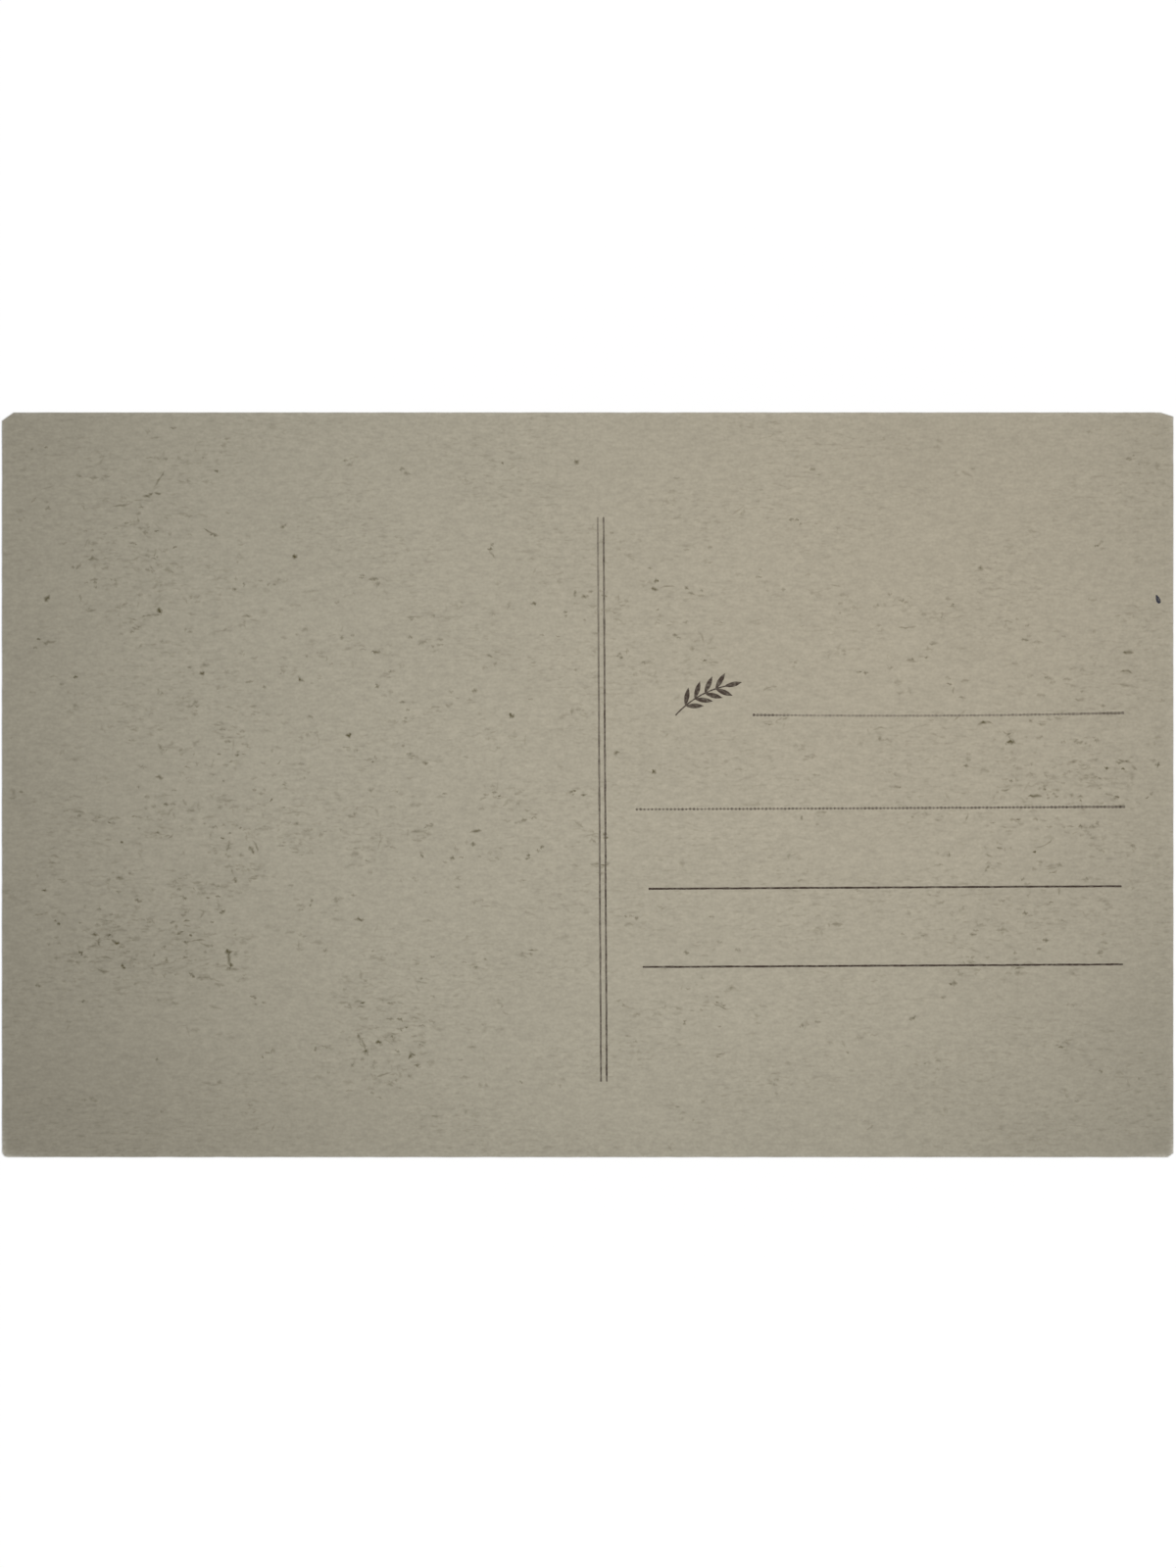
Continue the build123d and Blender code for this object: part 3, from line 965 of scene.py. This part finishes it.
def ink_look(name, ink_colour):
    """Thin ink on fibrous paper: it covers as much as its tone says, broken up by the paper's grain."""
    look, tree, shader, place = new_look(name)
    colour, height = address_tone(tree, place)
    grain = swing(tree, noise(tree, place, INK_GRAIN_SIZE), INK_GRAIN_DEPTH)
    covered = maths(tree, "MINIMUM", maths(tree, "MULTIPLY", tone(tree), grain), 1.0)
    plug(tree, shader.inputs["Base Color"], blend(tree, covered, colour, ink_colour))
    raise_grain(tree, shader, height, TOOTH_DEPTH)
    matt(shader, INK_FINISH)
    return look


def pulp_look(name, pale, dark, size, depth):
    """Plain paper, pulp or dried paste: two tones mixed in streaks, with fine relief and edges rubbed pale
    and painted with a highlight.
    """
    look, tree, shader, place = new_look(name)
    streaks = noise(tree, place, size, detail=3.0)
    grain = noise(tree, place, GRAIN_SIZE)
    colour = blend(tree, rising(tree, streaks, *PULP_STEP), dark, pale)
    colour = dimmed(tree, colour, swing(tree, grain, PULP_GRAIN_DEPTH))
    plug(tree, shader.inputs["Base Color"], rubbed_and_highlit(tree, place, colour))
    raise_grain(tree, shader, streaks, depth)
    matt(shader, PULP_FINISH)
    return look


def inside(tree, gap):
    """1 where a gap is positive and 0 where it is negative, with a soft edge."""
    return rising(tree, gap, -RIDGE_SOFTNESS, RIDGE_SOFTNESS)


def below(tree, place, height, ridge):
    """1 below a ridge line, 0 above it: the line is a base height plus a rise times noise along x."""
    base, rise, hill_length, detail = ridge
    hills = noise(tree, place, (hill_length, 0.0, 0.0), detail, shift=base / MM)
    line = maths(tree, "ADD", maths(tree, "MULTIPLY", hills, rise), base)
    return inside(tree, maths(tree, "SUBTRACT", line, height))


def sky_view(tree, place, height):
    """The picture's sky: paler lower down, with banks of cloud."""
    clouds = rising(tree, noise(tree, place, CLOUD_BANK_SIZE, detail=5.0), *CLOUD_BANK_STEP)
    lit = rising(tree, height, 0.0, SKY_TOP)
    return blend(tree, clouds, blend(tree, lit, SKY_LOW_COLOUR, SKY_HIGH_COLOUR), CLOUD_COLOUR)


def hills_view(tree, place, height, view):
    """Hills over a view: far ones that fade into mist at their foot, and near ones with woods."""
    mist = rising(tree, height, SHORE_HEIGHT, MIST_TOP)
    far_hills = blend(tree, mist, SKY_LOW_COLOUR, FAR_HILL_COLOUR)
    view = blend(tree, below(tree, place, height, FAR_RIDGE), view, far_hills)
    crowns = rising(tree, noise(tree, place, WOODS_SIZE, detail=5.0), *WOODS_STEP)
    woods = blend(tree, crowns, NEAR_HILL_COLOUR, WOODS_COLOUR)
    return blend(tree, below(tree, place, height, NEAR_RIDGE), view, woods)


def lake_view(tree, place, height, view):
    """Water over a view, below the shore: it mirrors the woods, and ripples glint further out."""
    depth = maths(tree, "SUBTRACT", SHORE_HEIGHT, height)
    ripples = rising(tree, noise(tree, place, RIPPLE_SIZE, detail=3.0), *RIPPLE_STEP)
    mirrored = maths(tree, "SUBTRACT", 1.0, rising(tree, depth, 0.0, MIRROR_REACH))
    still = blend(tree, mirrored, WATER_COLOUR, NEAR_HILL_COLOUR)
    glints = maths(tree, "MULTIPLY", ripples, swing(tree, mirrored, GLINT_SWING))
    water = blend(tree, glints, still, SKY_LOW_COLOUR)
    return blend(tree, inside(tree, depth), view, water)


def bank_view(tree, place, height, view):
    """A grassy bank over a view, along its foot."""
    blades = rising(tree, noise(tree, place, GRASS_SIZE, detail=4.0), *GRASS_STEP)
    grass = blend(tree, blades, BANK_COLOUR, WOODS_COLOUR)
    return blend(tree, below(tree, place, height, BANK_RIDGE), view, grass)


def trunk_and_crown_view(tree, place, across, height, view):
    """A tree over a view: a leaning trunk, and a crown of leaf clumps that thin out from its middle."""
    lean = maths(tree, "MULTIPLY", height, TRUNK_LEAN)
    from_trunk = maths(tree, "SUBTRACT", maths(tree, "ADD", across, lean), TRUNK_PLACE)
    aside = maths(tree, "ABSOLUTE", from_trunk, 0.0)
    trunk = inside(tree, maths(tree, "SUBTRACT", TRUNK_WIDTH / 2.0, aside))
    foot = rising(tree, maths(tree, "SUBTRACT", CROWN_MIDDLE[1], height), 0.0, RIDGE_SOFTNESS)
    thinning = maths(tree, "DIVIDE", distance(tree, place, CROWN_MIDDLE), CROWN_REACH)
    clumps = noise(tree, place, LEAF_CLUMP_SIZE, detail=7.0)
    crown = rising(tree, maths(tree, "SUBTRACT", clumps, thinning), *LEAF_CLUMP_STEP)
    cover = maths(tree, "MAXIMUM", crown, maths(tree, "MULTIPLY", trunk, foot))
    leaves = rising(tree, noise(tree, place, WOODS_SIZE, detail=3.0), *FOLIAGE_STEP)
    return blend(tree, cover, view, blend(tree, leaves, BANK_COLOUR, NEAR_HILL_COLOUR))


def picture_look():
    """A brown-toned view of a lake: clouds, misty hills, woods, water, a grassy bank and a tree."""
    look, tree, shader, place = new_look("picture_brown_toned")
    split = tree.nodes.new("ShaderNodeSeparateXYZ")
    tree.links.new(place, split.inputs["Vector"])
    across = split.outputs["X"]
    height = split.outputs["Y"]
    view = sky_view(tree, place, height)
    view = hills_view(tree, place, height, view)
    view = lake_view(tree, place, height, view)
    view = bank_view(tree, place, height, view)
    view = trunk_and_crown_view(tree, place, across, height, view)
    grain = swing(tree, noise(tree, place, GRAIN_SIZE), PICTURE_GRAIN)
    plug(tree, shader.inputs["Base Color"], dimmed(tree, view, grain))
    matt(shader, PICTURE_FINISH)
    return look


def seen(tree):
    """1 for a ray from the camera, off a glossy surface or through a clear one, and 0 for the rest."""
    path = tree.nodes.new("ShaderNodeLightPath").outputs
    mirrored = maths(tree, "MAXIMUM", path["Is Glossy Ray"], path["Is Transmission Ray"])
    return maths(tree, "MAXIMUM", path["Is Camera Ray"], mirrored)


def table_look():
    """A pale table that the camera sees as white wherever no shadow falls.

    To the camera and to reflections it glows by what the lamp's falloff takes away: one minus its shade
    times the light, which is the lamp's share over (1 + distance squared / lamp height squared) squared,
    plus the fill.
    """
    look, tree, shader, place = new_look("table_pale")
    tree.nodes.remove(shader)
    gap = distance(tree, place, (LAMP_PLACE[0], LAMP_PLACE[1], 0.0))
    spread = maths(tree, "POWER", maths(tree, "DIVIDE", gap, LAMP_PLACE[2]), 2.0)
    falloff = maths(tree, "POWER", maths(tree, "ADD", spread, 1.0), -2.0)
    light = maths(tree, "ADD", maths(tree, "MULTIPLY", falloff, LAMP_SHARE), FILL_SHARE)
    glow = maths(tree, "SUBTRACT", 1.0, maths(tree, "MULTIPLY", light, TABLE_SHADE))
    emission = tree.nodes.new("ShaderNodeEmission")
    tree.links.new(maths(tree, "MULTIPLY", glow, seen(tree)), emission.inputs["Strength"])
    cloth = tree.nodes.new("ShaderNodeBsdfDiffuse")
    cloth.inputs["Color"].default_value = (TABLE_SHADE, TABLE_SHADE, TABLE_SHADE, 1.0)
    both = tree.nodes.new("ShaderNodeAddShader")
    tree.links.new(emission.outputs["Emission"], both.inputs[0])
    tree.links.new(cloth.outputs["BSDF"], both.inputs[1])
    tree.links.new(both.outputs["Shader"], tree.nodes["Material Output"].inputs["Surface"])
    return look


def dress(look, *pieces):
    """Gives one look to pieces."""
    for piece in pieces:
        piece.data.materials.clear()
        piece.data.materials.append(look)


# The card

address_sheet = outer_ply("address_sheet", "address_ply", seed=11, face_up=True)
picture_sheet = outer_ply("picture_sheet", "picture_ply", seed=12, face_up=False)
core_sheet = inner_layer("core_sheet", "core_ply", PLY_SPACING, setback=0.0, seed=13)
upper_paste = inner_layer(
    "upper_paste", "upper_paste_film", PASTE_SPACING, PASTE_SETBACK, seed=14,
)
lower_paste = inner_layer(
    "lower_paste", "lower_paste_film", PASTE_SPACING, PASTE_SETBACK, seed=15,
)
print_film = picture_film()

inks = (
    solid_rule("divider_left_ink", "divider_rule_left", tones=(0.72, 0.7, 0.46), seed=41, upright=True),
    solid_rule("divider_right_ink", "divider_rule_right", tones=(0.78, 0.78, 0.66), seed=44, upright=True),
    dotted_rule(
        "address_ink_1", "address_rule_1", bow=0.2 * MM, spreads=(1.2, 1.05, 1.1, 1.25),
        tones=(0.86, 0.44, 0.55, 0.66), necks=(0.65, 0.75, 0.75, 0.85), seed=47,
    ),
    dotted_rule(
        "address_ink_2", "address_rule_2", bow=0.02 * MM, spreads=(1.1, 1.1, 1.12, 1.25),
        tones=(0.7, 0.71, 0.7, 0.74), necks=(0.45, 0.52, 0.65, 0.82), seed=48,
    ),
    solid_rule("address_ink_3", "address_rule_3", tones=(1.0, 0.98, 0.96), seed=49),
    solid_rule("address_ink_4", "address_rule_4", tones=(0.93, 0.97, 0.94), seed=52),
    sprig(),
)
flecks = (
    scattered_flecks(
        "faint_flecks", crowd=1.25, length=0.92 * MM, width=0.47 * MM, strength=0.205, seed=77,
    ),
    scattered_flecks(
        "paper_flecks", crowd=0.4, length=0.8 * MM, width=0.43 * MM, strength=0.37, seed=78,
    ),
    placed_flecks("bold_flecks", BOLD_FLECKS, width=0.78 * MM, strength=0.97, seed=81),
    placed_flecks("clear_flecks", CLEAR_FLECKS, width=0.62 * MM, strength=0.68, seed=82),
    placed_flecks("hair_fibres", HAIR_FIBRES, width=0.36 * MM, strength=0.46, seed=83),
)
spot = ink_spot()

coated_paper = pulp_look(
    "picture_paper_coated", PICTURE_PAPER_COLOUR, PAPER_COLOUR, CLOUD_SIZE, TOOTH_DEPTH,
)
coarse_pulp = pulp_look(
    "core_pulp_coarse", CORE_COLOUR, CORE_DARK_COLOUR, STREAK_SIZE, COARSE_TOOTH_DEPTH,
)
glassy_paste = pulp_look(
    "dried_paste_glassy", PASTE_COLOUR, CORE_DARK_COLOUR, SCUFF_SIZE, TOOTH_DEPTH,
)
dress(address_paper_look(), address_sheet)
dress(coated_paper, picture_sheet)
dress(coarse_pulp, core_sheet)
dress(glassy_paste, upper_paste, lower_paste)
dress(picture_look(), print_film)
dress(ink_look("rule_ink_thin", INK_COLOUR), *inks)
dress(ink_look("writing_ink_blue_black", SPOT_COLOUR), spot)
dress(fleck_look("paper_fleck_fibre"), *flecks)


# Table, light and camera

table_mesh = bpy.data.meshes.new("table")
table_corners = [
    (-TABLE_REACH, -TABLE_REACH, -TABLE_GAP),
    (TABLE_REACH, -TABLE_REACH, -TABLE_GAP),
    (TABLE_REACH, TABLE_REACH, -TABLE_GAP),
    (-TABLE_REACH, TABLE_REACH, -TABLE_GAP),
]
table_mesh.from_pydata(table_corners, [], [(0, 1, 2, 3)])
table = bpy.data.objects.new("table", table_mesh)
bpy.context.scene.collection.objects.link(table)
dress(table_look(), table)

# The lamp's power, by which white paper straight below it shows the lamp's share of full white
lamp_power = math.pi ** 2 * LAMP_SHARE * (LAMP_RADIUS ** 2 + LAMP_PLACE[2] ** 2)
lamp_data = bpy.data.lights.new("lamp", "AREA")
lamp_data.shape = "DISK"
lamp_data.size = 2.0 * LAMP_RADIUS
lamp_data.energy = lamp_power
lamp = bpy.data.objects.new("lamp", lamp_data)
lamp.location = LAMP_PLACE
lamp.visible_camera = False
bpy.context.scene.collection.objects.link(lamp)

world = bpy.data.worlds.new("studio")
world.use_nodes = True
sky_tree = world.node_tree
sky_strength = maths(sky_tree, "MAXIMUM", seen(sky_tree), FILL_SHARE)
sky_tree.nodes["Background"].inputs["Color"].default_value = (1.0, 1.0, 1.0, 1.0)
sky_tree.links.new(sky_strength, sky_tree.nodes["Background"].inputs["Strength"])
bpy.context.scene.world = world

# The camera looks straight down from where its lens sees the photograph's height
px_per_metre = (CARD_RIGHT_PX - CARD_LEFT_PX) / (cad_high[0] - cad_low[0])
view_height = PHOTO_HEIGHT_PX / px_per_metre
camera_data = bpy.data.cameras.new("camera")
camera_data.lens = LENS
camera_data.sensor_width = SENSOR
camera = bpy.data.objects.new("camera", camera_data)
camera.location = (
    (PHOTO_WIDTH_PX / 2.0 - (CARD_LEFT_PX + CARD_RIGHT_PX) / 2.0) / px_per_metre,
    (CARD_MIDDLE_ROW_PX - PHOTO_HEIGHT_PX / 2.0) / px_per_metre,
    address_top + view_height * LENS / SENSOR,
)
bpy.context.scene.collection.objects.link(camera)
bpy.context.scene.camera = camera
bpy.context.scene.view_settings.view_transform = "Standard"
